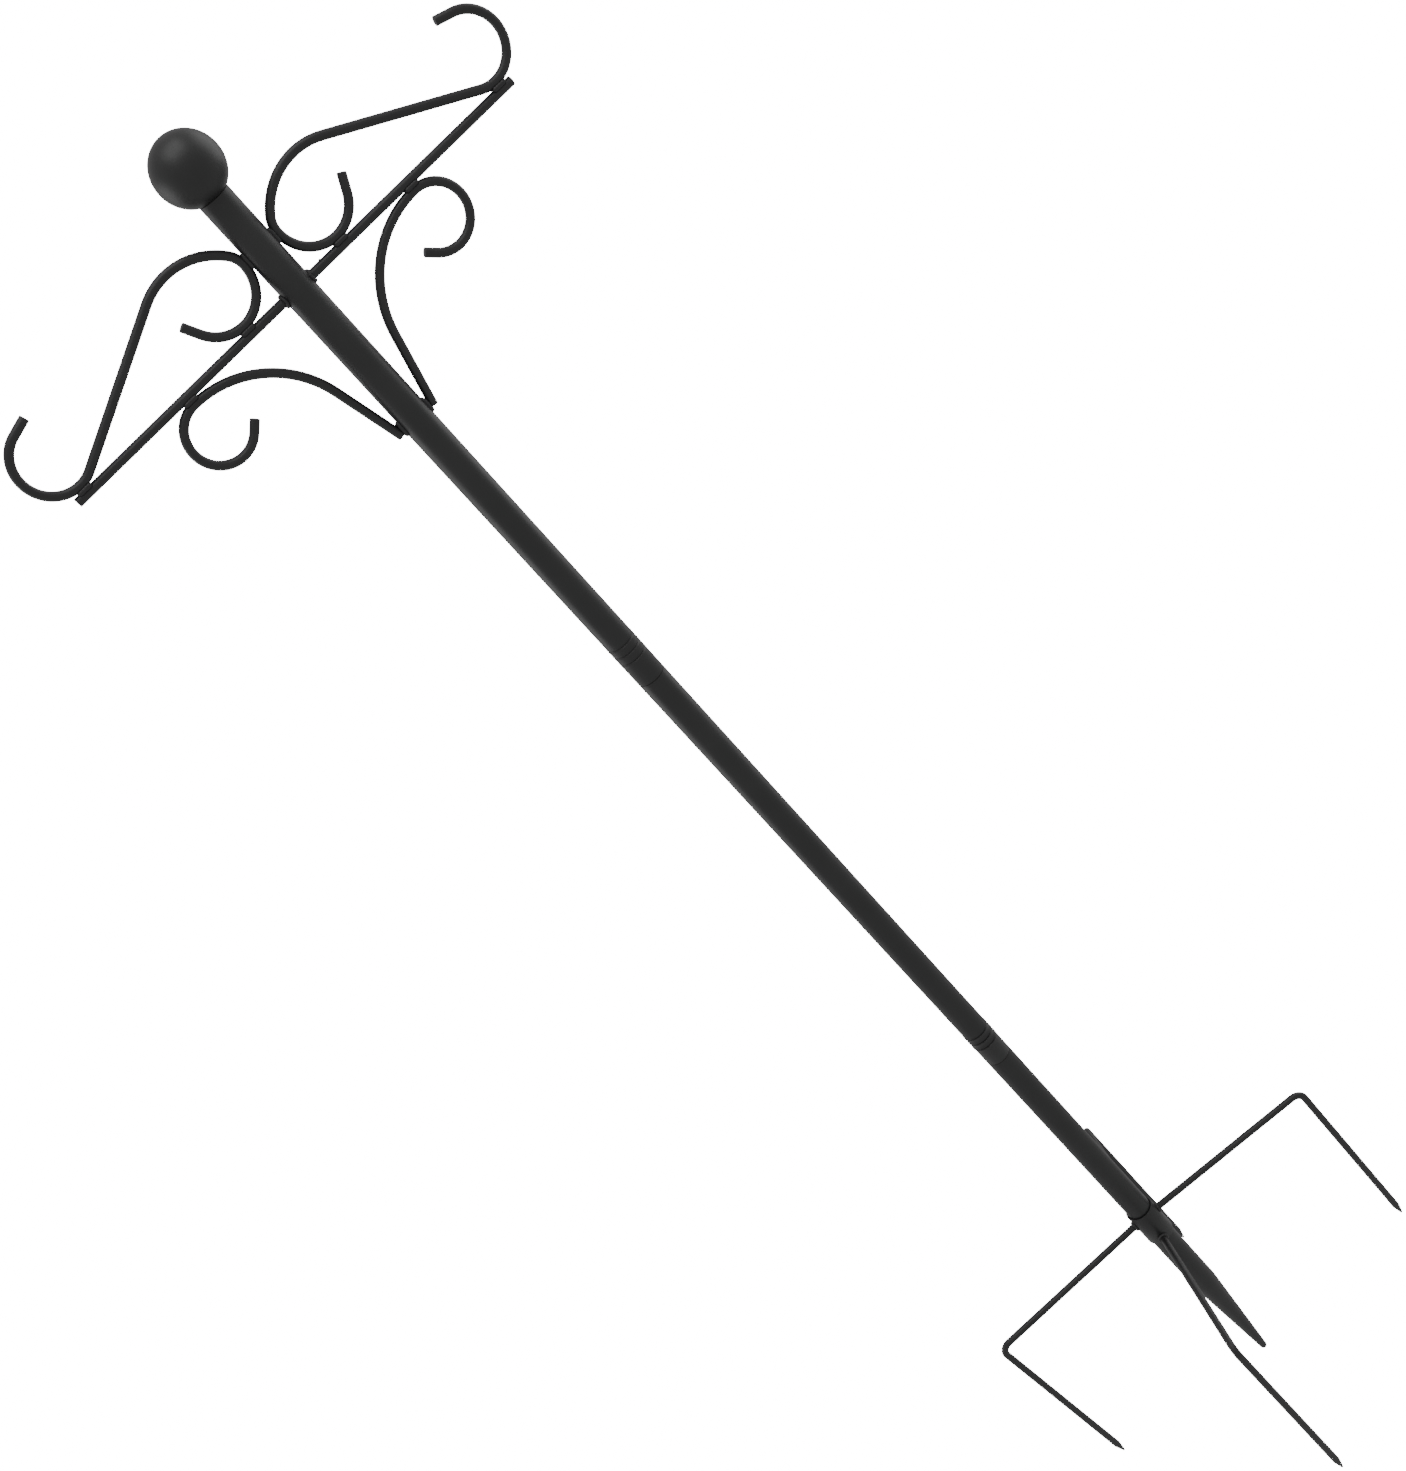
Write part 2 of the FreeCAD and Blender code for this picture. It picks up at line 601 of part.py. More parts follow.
def hook_welds(bar_up, core, bar, hook, brace):
    tube = "sizes.tube_diameter / 2"
    half = "sizes.rod_diameter / 2"
    small = "sizes.bead_size"
    long = "sizes.bead_length"
    touch = tube + " + " + half
    top = bar_up[1] + " + " + half
    under = bar_up[1] + " - " + half
    root = doc.addObject("Part::Cone", "crossbar_bead_blank")
    root.setExpression("Radius1", half + " + sizes.root_bead_size")
    root.setExpression("Radius2", half + " + sizes.bead_toe")
    root.setExpression("Height", "sizes.root_bead_size * 2")
    root.Placement.Rotation = FreeCAD.Rotation(FreeCAD.Vector(0, 0, 1), FreeCAD.Vector(1, 0, 0))
    place(root, (tube + " - sizes.root_bead_size / 2", "", bar_up[1]))
    on_tube = cut("crossbar_bead_on_tube", root, core)
    both_sides("crossbar_welds", cut("crossbar_bead_cut", on_tube, bar))
    level = bar_up[1] + " + sizes.rod_diameter + sizes.loop_radius"
    bead_pair("loop_tube_welds", bead("loop_tube_bead", (small, long), (tube, level), (core, hook)))
    loop_foot = touch + " + sizes.loop_radius"
    bead_pair("loop_bar_welds", bead("loop_bar_bead", (long, small), (loop_foot, top), (bar, hook)))
    hook_foot = "hook_path.Constraints.hook_centre_across"
    bead_pair("hook_bar_welds", bead("hook_bar_bead", (long, small), (hook_foot, top), (bar, hook)))
    across = "sizes.brace_reach"
    bead_pair("brace_bar_welds", bead("brace_bar_bead", (long, small), (across, under), (bar, brace)))
    foot = "sweep_path.Constraints.end_up + sizes.rod_diameter / 2 * 1 mm"
    bead_pair("brace_tube_welds", bead("brace_tube_bead", (small, long), (tube, foot), (core, brace)))


def prong_collar():
    bore = ("sizes.tube_diameter / 2 + sizes.collar_clearance",)
    value = SIZES["tube_diameter"] / 2 + SIZES["collar_clearance"]
    outer = (value + SIZES["collar_wall"], bore[0] + " + sizes.collar_wall")
    body = new_body("prong_collar")
    sketch = circle_sketch(body, "collar_section", "XY_Plane", [outer, (value, bore[0])])
    pad(body, sketch, "collar_wall_ring", "sizes.collar_length")
    doc.recompute()
    return node(body, "prong_collar")


def turned_about_pole(shape, angle):
    """Turns a finished shape about the pole's axis by an expression in degrees."""
    turn = FreeCAD.Rotation(FreeCAD.Vector(0, 0, 1), 0.0)
    shape.Placement = FreeCAD.Placement(FreeCAD.Vector(0, 0, 0), turn)
    shape.setExpression("Placement.Rotation.Angle", "(%s) * 1 deg" % angle)


def prong(name, height, reach, bend, angle, core):
    """One bent prong: out from the collar, round a tight bend and down to a short point.
    height, reach and bend are (value, expression), angle an expression in degrees about the
    pole. bend is the turn from the arm to the leg, so 90 degrees leaves the leg upright."""
    radius = SIZES["prong_bend_radius"]
    root = SIZES["tube_diameter"] / 4
    root_at = "sizes.tube_diameter / 4"
    leg = SIZES["prong_leg_length"] - radius - SIZES["prong_point_length"]
    run = "%s - sizes.prong_bend_radius - %s" % (reach[1], root_at)
    body = new_body(name + "_body")
    steps = [
        ("line", reach[0] - radius - root, run),
        ("arc", radius, "sizes.prong_bend_radius", -bend[0], bend[1]),
        ("line", leg, "sizes.prong_leg_length - sizes.prong_bend_radius - sizes.prong_point_length"),
    ]
    path = rod_path(body, name + "_path", (root, height[0]), root_at, height[1], 0.0, steps)
    path.addConstraint(Sketcher.Constraint("Horizontal", 0))
    doc.recompute()
    foot = path.Geometry[2].EndPoint
    for kind, value, label in (("DistanceX", foot.x, "foot_across"), ("DistanceY", foot.y, "foot_up")):
        reading = path.addConstraint(Sketcher.Constraint(kind, -1, 1, 2, 2, value))
        path.setDriving(reading, False)
        path.renameConstraint(reading, label)
    section = rod_profile(body, name + "_section", "YZ_Plane", (0.0, ""), height, root_at)
    doc.recompute()
    pipe(body, name + "_rod", section, path)
    doc.recompute()
    point = body.newObject("PartDesign::AdditiveCone", name + "_point")
    point.setExpression("Radius1", "sizes.rod_diameter / 2")
    point.setExpression("Radius2", "sizes.prong_point_radius")
    point.setExpression("Height", "sizes.prong_point_length")
    down = FreeCAD.Rotation(FreeCAD.Vector(0, 1, 0), 90.0 + bend[0])
    point.Placement = FreeCAD.Placement(foot, down)
    point.setExpression("Placement.Base.x", path.Name + ".Constraints.foot_across")
    point.setExpression("Placement.Base.y", "0")
    point.setExpression("Placement.Base.z", path.Name + ".Constraints.foot_up")
    point.setExpression("Placement.Rotation.Angle", "(90 + %s) * 1 deg" % bend[1])
    doc.recompute()
    blank = cut(name + "_cut", body, core)
    turned_about_pole(blank, angle)
    return node(blank, name)


def prong_bead(name, height, angle, core):
    """The fillet round one prong's root, in the prong's own direction."""
    shape = doc.addObject("Part::Cone", name + "_blank")
    shape.setExpression("Radius1", "sizes.rod_diameter / 2 + sizes.collar_bead_size")
    shape.setExpression("Radius2", "sizes.rod_diameter / 2 + sizes.bead_toe")
    shape.setExpression("Height", "sizes.collar_bead_size * 2")
    shape.Placement.Rotation = FreeCAD.Rotation(FreeCAD.Vector(0, 0, 1), FreeCAD.Vector(1, 0, 0))
    wall = "sizes.tube_diameter / 2 + sizes.collar_clearance + sizes.collar_wall"
    place(shape, (wall + " - sizes.collar_bead_size / 2", "", height[1]))
    across = FreeCAD.Vector(1, 0, 0)
    level = ("", "", height[1])
    rod = cylinder(name + "_rod", "sizes.rod_diameter / 2", "sizes.tube_diameter * 2", level, across)
    ring = cut(name + "_ring", cut(name + "_on_collar", shape, core), rod)
    turned_about_pole(ring, angle)
    return ring


def prong_base():
    """The slip-on base: a collar with two prongs near its top and, a quarter turn round, two
    near its lower rim."""
    prong_collar()
    upward = FreeCAD.Vector(0, 0, 1)
    wall = "sizes.tube_diameter / 2 + sizes.collar_clearance + sizes.collar_wall"
    below = ("", "", "-sizes.collar_length")
    core = cylinder("collar_core", wall, "sizes.collar_length * 3", below, upward)
    side = (SIZES["side_prong_height"], "sizes.side_prong_height")
    cross = (SIZES["cross_prong_height"], "sizes.cross_prong_height")
    wide = (SIZES["side_prong_reach"], "sizes.side_prong_reach")
    deep = (SIZES["cross_prong_reach"], "sizes.cross_prong_reach")
    turn = "sizes.base_turn"
    beads = []
    for way, height, reach, angle in (
        ("right", side, wide, turn),
        ("back", cross, deep, turn + " + 90"),
        ("left", side, wide, turn + " + 180 + sizes.left_prong_skew"),
        ("front", cross, deep, turn + " + 270 + sizes.front_prong_skew"),
    ):
        bend = (SIZES[way + "_prong_bend"], "sizes." + way + "_prong_bend")
        prong("prong_" + way, height, reach, bend, angle, core)
        beads.append(prong_bead("prong_" + way + "_bead", height, angle, core))
    node(compound("prong_welds", beads), "prong_welds")


def build():
    make_sheet()
    above = "sizes.lower_tube_above_ground"
    seam_low = (SIZES["lower_tube_above_ground"], above)
    seam_high = (seam_low[0] + SIZES["middle_tube_length"], above + " + sizes.middle_tube_length")
    neck = (seam_high[0] + SIZES["upper_tube_length"], seam_high[1] + " + sizes.upper_tube_length")
    bar_up = (neck[0] - SIZES["crossbar_drop"], neck[1] + " - sizes.crossbar_drop")
    lower_tube()
    section_tube("middle_tube", seam_low, (SIZES["middle_tube_length"], "sizes.middle_tube_length"))
    section_tube("upper_tube", seam_high, (SIZES["upper_tube_length"], "sizes.upper_tube_length"))
    spigot("lower_spigot", seam_low)
    spigot("upper_spigot", seam_high)
    ball_finial(neck)
    finial_plug(neck)
    upward = FreeCAD.Vector(0, 0, 1)
    foot = ("", "", seam_high[1])
    core = cylinder("tube_core", "sizes.tube_diameter / 2", "sizes.upper_tube_length", foot, upward)
    hook = hook_scrolls(bar_up)
    bar = crossbars(bar_up, core)
    body = brace_scrolls(bar_up)
    doc.recompute()
    brace = node(cut("brace_scroll_right", body, core), "brace_scroll_right")
    node(mirrored("brace_scroll_left", brace), "brace_scroll_left")
    hook_welds(bar_up, core, bar, hook, brace)
    prong_base()
    doc.recompute()


def check():
    for obj in doc.Objects:
        if "Invalid" in obj.State or "Error" in obj.State:
            raise RuntimeError("%s is in state %s" % (obj.Name, obj.State))
    for obj in nodes:
        shape = obj.Shape
        if shape.isNull() or not shape.isValid() or not shape.Solids:
            raise RuntimeError("%s has no valid solid" % obj.Label)
        print("%-20s solids %d volume %.1f" % (obj.Label, len(shape.Solids), shape.Volume))


def export():
    os.makedirs("parts", exist_ok=True)
    for obj in nodes:
        obj.Shape.exportStep("parts/%s.step" % obj.Label)


build()
check()
export()
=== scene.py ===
import bpy
from math import sin, cos, pi, radians, sqrt, atan2
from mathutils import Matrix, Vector


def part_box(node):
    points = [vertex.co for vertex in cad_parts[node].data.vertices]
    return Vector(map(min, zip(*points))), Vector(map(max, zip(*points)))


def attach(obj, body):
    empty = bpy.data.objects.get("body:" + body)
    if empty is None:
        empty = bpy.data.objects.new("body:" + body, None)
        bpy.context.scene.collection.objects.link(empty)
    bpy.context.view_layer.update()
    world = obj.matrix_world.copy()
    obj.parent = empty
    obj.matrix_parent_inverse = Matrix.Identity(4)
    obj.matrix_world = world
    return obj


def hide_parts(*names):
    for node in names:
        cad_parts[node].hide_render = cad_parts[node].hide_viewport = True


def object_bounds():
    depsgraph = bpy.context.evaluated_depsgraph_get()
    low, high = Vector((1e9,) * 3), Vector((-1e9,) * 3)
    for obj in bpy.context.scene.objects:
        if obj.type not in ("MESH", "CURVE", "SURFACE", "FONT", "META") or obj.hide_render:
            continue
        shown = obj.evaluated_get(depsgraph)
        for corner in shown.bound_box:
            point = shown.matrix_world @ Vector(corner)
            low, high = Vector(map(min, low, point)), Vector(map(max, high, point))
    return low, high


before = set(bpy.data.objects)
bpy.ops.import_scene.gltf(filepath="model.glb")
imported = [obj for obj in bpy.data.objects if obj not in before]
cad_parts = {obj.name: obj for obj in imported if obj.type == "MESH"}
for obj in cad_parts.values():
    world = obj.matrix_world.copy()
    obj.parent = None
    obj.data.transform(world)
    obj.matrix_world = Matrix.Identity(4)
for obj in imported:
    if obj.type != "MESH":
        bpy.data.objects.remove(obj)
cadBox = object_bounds()
print("frame loaded")

# what the CAD says about the places that everything else hangs on
xWay, yWay, zWay = Vector((1, 0, 0)), Vector((0, 1, 0)), Vector((0, 0, 1))
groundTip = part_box("lower_tube")[0].z
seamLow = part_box("middle_tube")[0].z
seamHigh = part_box("upper_tube")[0].z
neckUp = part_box("upper_tube")[1].z
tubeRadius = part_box("lower_tube")[1].x
barLow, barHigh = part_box("crossbar_right")
barUp = (barLow.z + barHigh.z) / 2
rodRadius = (barHigh.z - barLow.z) / 2
touch = tubeRadius + rodRadius          # centre line of a rod that lies against the tube
sink = 0.0006                           # how far a rod's end runs into the wall it is welded to


# small helpers for working by hand

def deselectAll():
    if bpy.context.object and bpy.context.object.mode != "OBJECT":
        bpy.ops.object.mode_set(mode="OBJECT")
    bpy.ops.object.select_all(action="DESELECT")


def pick(*pieces):
    deselectAll()
    for piece in pieces:
        piece.select_set(True)
    bpy.context.view_layer.objects.active = pieces[0]


def editAll(piece, kind="VERT"):
    pick(piece)
    bpy.ops.object.mode_set(mode="EDIT")
    bpy.ops.mesh.select_mode(type=kind)
    bpy.ops.mesh.select_all(action="SELECT")


def editFaces(piece, test):
    # leaves the piece in edit mode with only the faces that pass the test selected
    pick(piece)
    bpy.ops.object.mode_set(mode="EDIT")
    bpy.ops.mesh.select_mode(type="FACE")
    bpy.ops.mesh.select_all(action="DESELECT")
    bpy.ops.object.mode_set(mode="OBJECT")
    for face in piece.data.polygons:
        face.select = test(face)
    bpy.ops.object.mode_set(mode="EDIT")


def cleanUp(piece, angle=38):
    # place into the mesh, doubles merged, outside facing out, soft shading with crisp edges
    pick(piece)
    bpy.ops.object.transform_apply(location=True, rotation=True, scale=True)
    editAll(piece)
    bpy.ops.mesh.remove_doubles(threshold=0.000002)
    bpy.ops.mesh.normals_make_consistent(inside=False)
    bpy.ops.object.mode_set(mode="OBJECT")
    bpy.ops.object.shade_smooth_by_angle(angle=radians(angle))
    return piece


def copyOf(piece, name):
    pick(piece)
    bpy.ops.object.duplicate(linked=False)
    twin = bpy.context.object
    twin.name = name
    return twin


def mirrored(piece, name, flip=(-1, 1, 1)):
    twin = copyOf(piece, name)
    twin.scale = flip
    return cleanUp(twin)


def joined(name, pieces):
    pick(*pieces)
    bpy.ops.object.join()
    bpy.context.object.name = name
    return bpy.context.object


def spinBy(degreesTurned, steps, centre, axis):
    # the operator turns left-handed about its axis, so the sign is changed here
    bpy.ops.mesh.spin(steps=steps, angle=-radians(degreesTurned), center=centre, axis=axis)


def heading(plane, angle):
    return plane[0] * cos(radians(angle)) + plane[1] * sin(radians(angle))


def walk(spot, angle, steps, plane=(xWay, zWay)):
    # where a chain of bends ends, and which way it then points
    for step in steps:
        if step[0] == "bend":
            side = 1 if step[2] > 0 else -1
            centre = spot + heading(plane, angle + 90 * side) * step[1]
            angle += step[2]
            spot = centre - heading(plane, angle + 90 * side) * step[1]
        else:
            spot = spot + heading(plane, angle) * step[1]
    return spot, angle


def backwards(steps):
    return [("bend", step[1], -step[2]) if step[0] == "bend" else step for step in reversed(steps)]


def bentRod(name, spot, angle, steps, plane=(xWay, zWay), radius=rodRadius, sides=32, round=0.0005):
    # a round bar, bent as in a bending jig: straight runs are extruded, bends are spun
    deselectAll()
    turn = heading(plane, angle).to_track_quat("Z", "Y").to_euler()
    bpy.ops.mesh.primitive_circle_add(
        vertices=sides, radius=radius, fill_type="NGON", location=spot, rotation=turn)
    rod = bpy.context.object
    rod.name = name
    editAll(rod, "FACE")
    axis = plane[0].cross(plane[1])
    for step in steps:
        if step[0] == "bend":
            side = 1 if step[2] > 0 else -1
            centre = spot + heading(plane, angle + 90 * side) * step[1]
            spinBy(step[2], max(6, int(abs(step[2]) / 3)), centre, axis)
        else:
            move = heading(plane, angle) * step[1]
            bpy.ops.mesh.extrude_region_move(TRANSFORM_OT_translate={"value": move})
        spot, angle = walk(spot, angle, [step], plane)
        if step[0] == "point":
            bpy.ops.transform.resize(value=(step[2],) * 3, center_override=spot)
    bpy.ops.object.mode_set(mode="OBJECT")
    if round:
        editFaces(rod, lambda face: len(face.vertices) > 4)
        bpy.ops.mesh.bevel(offset=round, segments=3, affect="EDGES")
    return cleanUp(rod)


def turned(name, outline, around=96):
    # a lathe piece: the outline is drawn point by point, bends in it are spun, then it all goes round
    deselectAll()
    bpy.ops.mesh.primitive_plane_add(size=0.001, location=(outline[0][0], 0, outline[0][1]))
    piece = bpy.context.object
    piece.name = name
    editAll(piece)
    bpy.ops.mesh.merge(type="CENTER")
    across, up = outline[0]
    for step in outline[1:]:
        if step[0] == "bend":
            centreAcross, centreUp, angle, count = step[1:]
            spinBy(-angle, count, (centreAcross, 0, centreUp), (0, 1, 0))
            swing = atan2(up - centreUp, across - centreAcross) + radians(angle)
            reach = sqrt((across - centreAcross) ** 2 + (up - centreUp) ** 2)
            across, up = centreAcross + reach * cos(swing), centreUp + reach * sin(swing)
        else:
            move = (step[0] - across, 0, step[1] - up)
            bpy.ops.mesh.extrude_vertices_move(TRANSFORM_OT_translate={"value": move})
            across, up = step
    bpy.ops.mesh.select_all(action="SELECT")
    bpy.ops.mesh.spin(steps=around, angle=2 * pi, center=(0, 0, 0), axis=(0, 0, 1))
    bpy.ops.object.mode_set(mode="OBJECT")
    return cleanUp(piece)


def weldBead(name, spots, size):
    # overlapping puddles melted into one rippled bead
    puddles = []
    for number, spot in enumerate(spots):
        deselectAll()
        swell = 1 + 0.07 * sin(number * 2.4)
        bpy.ops.mesh.primitive_ico_sphere_add(subdivisions=3, radius=size * swell, location=spot)
        puddles.append(bpy.context.object)
    bead = joined(name, puddles)
    bpy.ops.object.transform_apply(location=True, rotation=True, scale=True)
    melt = bead.modifiers.new("melt", "REMESH")
    melt.mode = "VOXEL"
    melt.voxel_size = size / 7
    bpy.ops.object.modifier_apply(modifier="melt")
    soften = bead.modifiers.new("soften", "SMOOTH")
    soften.factor = 0.5
    soften.iterations = 2
    bpy.ops.object.modifier_apply(modifier="soften")
    return cleanUp(bead, 80)


# finishes

class Wire:
    def __init__(self, tree, socket=None):
        self.tree = tree
        self.socket = socket

    def node(self, kind, settings=None, inputs=None, output=0):
        made = self.tree.nodes.new(kind)
        for key, value in (settings or {}).items():
            if key == "stops":
                for stop, (place, colour) in zip(made.color_ramp.elements, value):
                    stop.position = place
                    stop.color = colour
            else:
                setattr(made, key, value)
        for key, value in (inputs or {}).items():
            if isinstance(value, Wire):
                self.tree.links.new(value.socket, made.inputs[key])
            else:
                made.inputs[key].default_value = value
        return Wire(self.tree, made.outputs[output])

    def maths(self, operation, first, second):
        return self.node("ShaderNodeMath", {"operation": operation}, {0: first, 1: second})

    def __add__(self, other):
        return self.maths("ADD", self, other)

    def __radd__(self, other):
        return self.maths("ADD", other, self)

    def __sub__(self, other):
        return self.maths("SUBTRACT", self, other)

    def __rsub__(self, other):
        return self.maths("SUBTRACT", other, self)

    def __mul__(self, other):
        return self.maths("MULTIPLY", self, other)

    def __rmul__(self, other):
        return self.maths("MULTIPLY", other, self)


def newFinish(name):
    material = bpy.data.materials.new(name)
    material.use_nodes = True
    shader = material.node_tree.nodes["Principled BSDF"]
    wire = Wire(material.node_tree)
    place = wire.node("ShaderNodeTexCoord", output="Object")
    return material, shader, wire, place


def link(wire, value, shader, key):
    wire.tree.links.new(value.socket, shader.inputs[key])


def noise(wire, place, scale, detail=2.0, rough=0.5):
    inputs = {"Vector": place, "Scale": scale, "Detail": detail, "Roughness": rough}
    return wire.node("ShaderNodeTexNoise", {}, inputs)


def blended(wire, amount, first, second):
    return wire.node("ShaderNodeMix", {"data_type": "RGBA"}, {0: amount, 6: first, 7: second}, 2)


def bumped(wire, strength, depth, height):
    return wire.node("ShaderNodeBump", {}, {"Strength": strength, "Distance": depth, "Height": height})


powder = {
    "dark": (0.0110, 0.0110, 0.0114, 1),
    "pale": (0.0200, 0.0198, 0.0200, 1),
    "roughness": 0.42,
    "peelScale": 620,           # orange peel, a little under 2 mm from crest to crest
    "grainScale": 2600,         # the powder's own grain
    "peelDepth": 0.00011,
    "flowScale": 90,
    "dustScale": 24,
    "dustStops": [(0.42, (0, 0, 0, 1)), (0.74, (1, 1, 1, 1))],
}


def powderCoat():
    material, shader, wire, place = newFinish("powderCoat")
    peel = noise(wire, place, powder["peelScale"], 1.5)
    grain = noise(wire, place, powder["grainScale"], 2.0)
    flow = noise(wire, place, powder["flowScale"], 3.0)
    dust = noise(wire, place, powder["dustScale"], 6.0, 0.62)
    patch = wire.node("ShaderNodeValToRGB", {"stops": powder["dustStops"]}, {"Fac": dust})
    colour = blended(wire, patch * 0.6 + grain * 0.25, powder["dark"], powder["pale"])
    link(wire, colour, shader, "Base Color")
    sheen = powder["roughness"] + (flow - 0.5) * 0.10 + patch * 0.07 + (grain - 0.5) * 0.06
    link(wire, sheen, shader, "Roughness")
    height = peel * 0.8 + flow * 0.9 + grain * 0.10
    link(wire, bumped(wire, 0.55, powder["peelDepth"], height), shader, "Normal")
    shader.inputs["Specular IOR Level"].default_value = 0.5
    return material


def weldCoat():
    # the same coat over a rippled bead, its colour darker in the ripple's valleys as painted shade
    material, shader, wire, place = newFinish("weldCoat")
    ripple = noise(wire, place, 1300, 3.0)
    flow = noise(wire, place, 160, 3.0)
    # painted shade: the bead's colour goes darker where the ripple is low, in its valleys
    link(wire, blended(wire, ripple, powder["dark"], powder["pale"]), shader, "Base Color")
    link(wire, 0.45 + (flow - 0.5) * 0.16, shader, "Roughness")
    link(wire, bumped(wire, 0.6, 0.00015, ripple + flow), shader, "Normal")
    return material


def drawnSteel():
    # long fine draw marks along the tube
    material, shader, wire, place = newFinish("drawnSteel")
    stretched = wire.node("ShaderNodeMapping", {}, {"Vector": place, "Scale": (1, 1, 0.02)})
    marks = noise(wire, stretched, 1800, 3.0)
    stain = noise(wire, place, 60, 5.0)
    link(wire, blended(wire, stain, (0.30, 0.30, 0.31, 1), (0.46, 0.46, 0.47, 1)), shader, "Base Color")
    link(wire, 0.34 + marks * 0.16 + stain * 0.08, shader, "Roughness")
    link(wire, bumped(wire, 0.35, 0.00005, marks), shader, "Normal")
    shader.inputs["Metallic"].default_value = 1.0
    return material


def mouldedPlug():
    material, shader, wire, place = newFinish("mouldedPlug")
    grain = noise(wire, place, 900, 3.0)
    link(wire, blended(wire, grain, (0.018, 0.018, 0.018, 1), (0.03, 0.03, 0.03, 1)), shader, "Base Color")
    link(wire, 0.55 + grain * 0.12, shader, "Roughness")
    link(wire, bumped(wire, 0.4, 0.0001, grain), shader, "Normal")
    return material


def paleFloor():
    material, shader, wire, place = newFinish("paleFloor")
    mottle = noise(wire, place, 3, 4.0)
    link(wire, blended(wire, mottle, (0.90, 0.90, 0.90, 1), (0.93, 0.93, 0.925, 1)), shader, "Base Color")
    shader.inputs["Roughness"].default_value = 0.9
    shader.inputs["Emission Color"].default_value = (1, 1, 1, 1)
    shader.inputs["Emission Strength"].default_value = studio["floorGlow"]
    return material


coat, beadCoat, steel, plugPlastic = powderCoat(), weldCoat(), drawnSteel(), mouldedPlug()
print("finishes made")


def finishPiece(piece, body, slotName, material, *nodes):
    piece.data.materials.clear()
    piece.data.materials.append(material)
    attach(piece, body)
    if nodes:
        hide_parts(*nodes)


# the pole

pole = {
    "wall": 0.0012,
    "lip": 0.0006,               # rounding on the ends of the sections
    "seamGap": 0.00003,          # hairline between one section's end and the next
    "ringUp": 0.021,             # first rolled ring above the seam
    "ringPitch": 0.0068,
    "ringHalf": 0.0011,
    "ringRaised": 0.3,           # shoulder's height as a share of the groove's depth
    "ringFoot": 2.1,             # how far out the shoulder runs, in half widths
    "ringDepthHigh": 0.00055,
    "ringDepthLow": 0.00105,
    "shoulderDown": 0.084,       # where the stake starts to narrow
    "shoulderEase": [(0.004, 0), (0.0015, 0.00008), (-0.002, 0.0003)],    # height off it, cut into the wall
    "noseRadius": 0.0032,
    "nose": [(1.02, 1.15), (0.93, 0.62), (0.72, 0.28), (0.4, 0.07)],      # across and up, in nose radii
    "solidPoint": 0.022,
}


def rolledRing(up, depth):
    # half a wave pressed into the wall, with the metal pushed up into a low shoulder on each side
    half, raised = pole["ringHalf"], depth * pole["ringRaised"]
    marks = (-1, -0.75, -0.5, -0.25, 0, 0.25, 0.5, 0.75, 1)
    rim, full = tubeRadius + raised, depth + raised
    wave = [(rim - full * (1 + cos(pi * mark)) / 2, up + mark * half) for mark in marks]
    foot = half * pole["ringFoot"]
    return [(tubeRadius, up - foot)] + wave + [(tubeRadius, up + foot)]


def roundedRim(radius, up, lip, way):
    # three points round the rim of an end; way is 1 at a lower end and -1 at an upper one
    return [(radius - lip, up), (radius - lip * 0.3, up + way * lip * 0.3), (radius, up + way * lip)]


def sectionTube(name, bottom, top, depth):
    bore, lip = tubeRadius - pole["wall"], pole["lip"]
    outline = [(bore, bottom)] + roundedRim(tubeRadius, bottom, lip, 1)
    for number in range(3):
        outline += rolledRing(bottom + pole["ringUp"] + number * pole["ringPitch"], depth)
    outline += roundedRim(tubeRadius, top, lip, -1)[::-1] + [(bore, top), (bore, bottom)]
    return turned(name, outline)


def lowerSection(name):
    bore, lip, nose = tubeRadius - pole["wall"], pole["lip"], pole["noseRadius"]
    shoulder = -pole["shoulderDown"]
    outline = [(bore, seamLow)] + roundedRim(tubeRadius, seamLow, lip, -1)
    outline += [(tubeRadius - cutIn, shoulder + up) for up, cutIn in pole["shoulderEase"]]
    outline += [(nose * across, groundTip + nose * up) for across, up in pole["nose"]]
    outline += [(0, groundTip), (0, groundTip + pole["solidPoint"]), (bore, shoulder), (bore, seamLow)]
    return turned(name, outline)


upperTube = sectionTube("upperTube", seamHigh + pole["seamGap"], neckUp, pole["ringDepthHigh"])
finishPiece(upperTube, "upper_section", "powder_coat", coat, "upper_tube")
middleTube = sectionTube("middleTube", seamLow + pole["seamGap"], seamHigh, pole["ringDepthLow"])
finishPiece(middleTube, "middle_section", "powder_coat", coat, "middle_tube")
finishPiece(lowerSection("lowerTube"), "lower_section", "powder_coat", coat, "lower_tube")
print("pole sections turned")


# the ball

ball = {"wall": 0.0015, "lip": 0.0005, "overhang": 0.0003}      # overhang past the tube at its neck


def ballFinial():
    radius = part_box("ball_finial")[1].x
    radius = max(radius, (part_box("ball_finial")[1].z - neckUp) / 2)
    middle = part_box("ball_finial")[1].z - radius
    inner, lip = radius - ball["wall"], ball["lip"]
    bore = tubeRadius - pole["wall"]
    rim = tubeRadius + ball["overhang"]
    rimUp = middle - sqrt(radius ** 2 - rim ** 2)
    rise = 90 + 180 / pi * atan2(middle - rimUp, rim)
    mouthUp = middle - sqrt(inner ** 2 - bore ** 2)
    fall = -(90 + 180 / pi * atan2(middle - mouthUp, bore))
    outline = [(bore, neckUp), (tubeRadius - lip, neckUp), (tubeRadius - lip * 0.2, neckUp + lip * 0.25)]
    outline += [(rim, rimUp), ("bend", 0, middle, rise, 56), (0, middle + inner)]
    outline += [("bend", 0, middle, fall, 40), (bore, neckUp)]
    return turned("ballFinial", outline, 128)


finishPiece(ballFinial(), "upper_section", "powder_coat", coat, "ball_finial")
print("ball turned")


# bent rods of the arms

